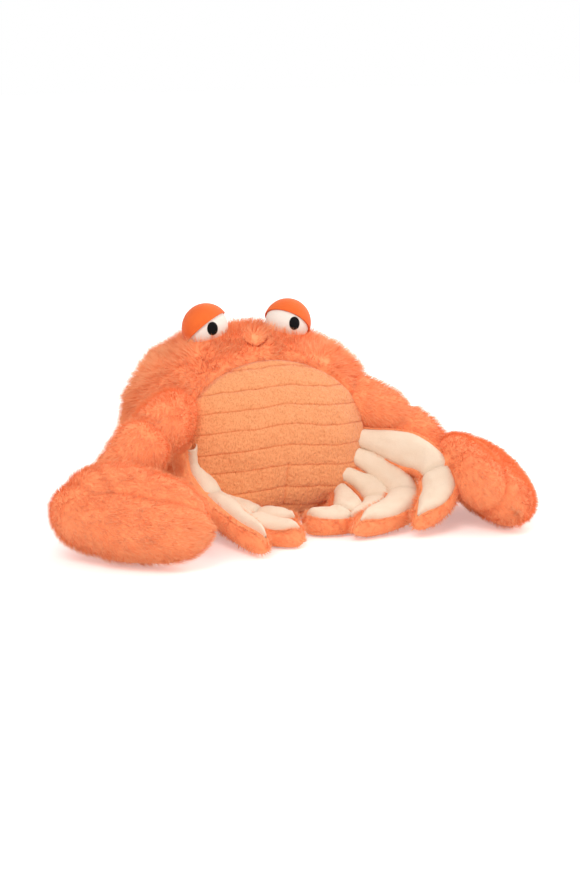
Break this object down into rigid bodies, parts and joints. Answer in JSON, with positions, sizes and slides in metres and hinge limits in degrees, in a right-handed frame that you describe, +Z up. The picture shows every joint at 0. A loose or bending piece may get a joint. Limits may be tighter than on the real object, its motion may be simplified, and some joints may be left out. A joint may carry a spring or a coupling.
{
  "type": "plush crab",
  "caption": "Soft plush crab that sits upright, with a ribbed belly, drooping eyelids, mitten-shaped claws on bent arms, and flat lined legs curling round its front.",
  "frame": {"origin": "middle of the whole crab's box, on the floor it sits on", "axes": "+Z up, -Y the way the face and belly look, +X towards the crab's own left claw"},
  "size_m": [0.3968, 0.2748, 0.1722],
  "materials": {
    "orange_fur": "long soft pile",
    "peach_ribbed_plush": "short ribbed pile",
    "cream_suede": "smooth brushed",
    "eye_white_suede": "smooth brushed",
    "eyelid_suede": "smooth brushed",
    "pupil_thread": "embroidered, slight sheen",
    "polyester_stuffing": "matte",
    "pouch_cotton": "matte"
  },
  "bodies": {
    "root": {"body_cover": "orange_fur", "belly_panel": "peach_ribbed_plush", "body_stuffing": "polyester_stuffing", "bean_pouch": "pouch_cotton", "left_eye": "eye_white_suede", "left_eyelid": "eyelid_suede", "left_pupil": "pupil_thread", "left_claw": "orange_fur", "left_arm": "orange_fur", "left_leg_1_back": "orange_fur", "left_leg_1_panel": "cream_suede", "left_leg_2_back": "orange_fur", "left_leg_2_panel": "cream_suede", "left_leg_3_back": "orange_fur", "left_leg_3_panel": "cream_suede", "left_leg_4_back": "orange_fur", "left_leg_4_panel": "cream_suede", "right_eye": "eye_white_suede", "right_eyelid": "eyelid_suede", "right_pupil": "pupil_thread", "right_claw": "orange_fur", "right_arm": "orange_fur", "right_leg_1_back": "orange_fur", "right_leg_1_panel": "cream_suede", "right_leg_2_back": "orange_fur", "right_leg_2_panel": "cream_suede", "right_leg_3_back": "orange_fur", "right_leg_3_panel": "cream_suede", "right_leg_4_back": "orange_fur", "right_leg_4_panel": "cream_suede"}
  },
  "joints": []
}
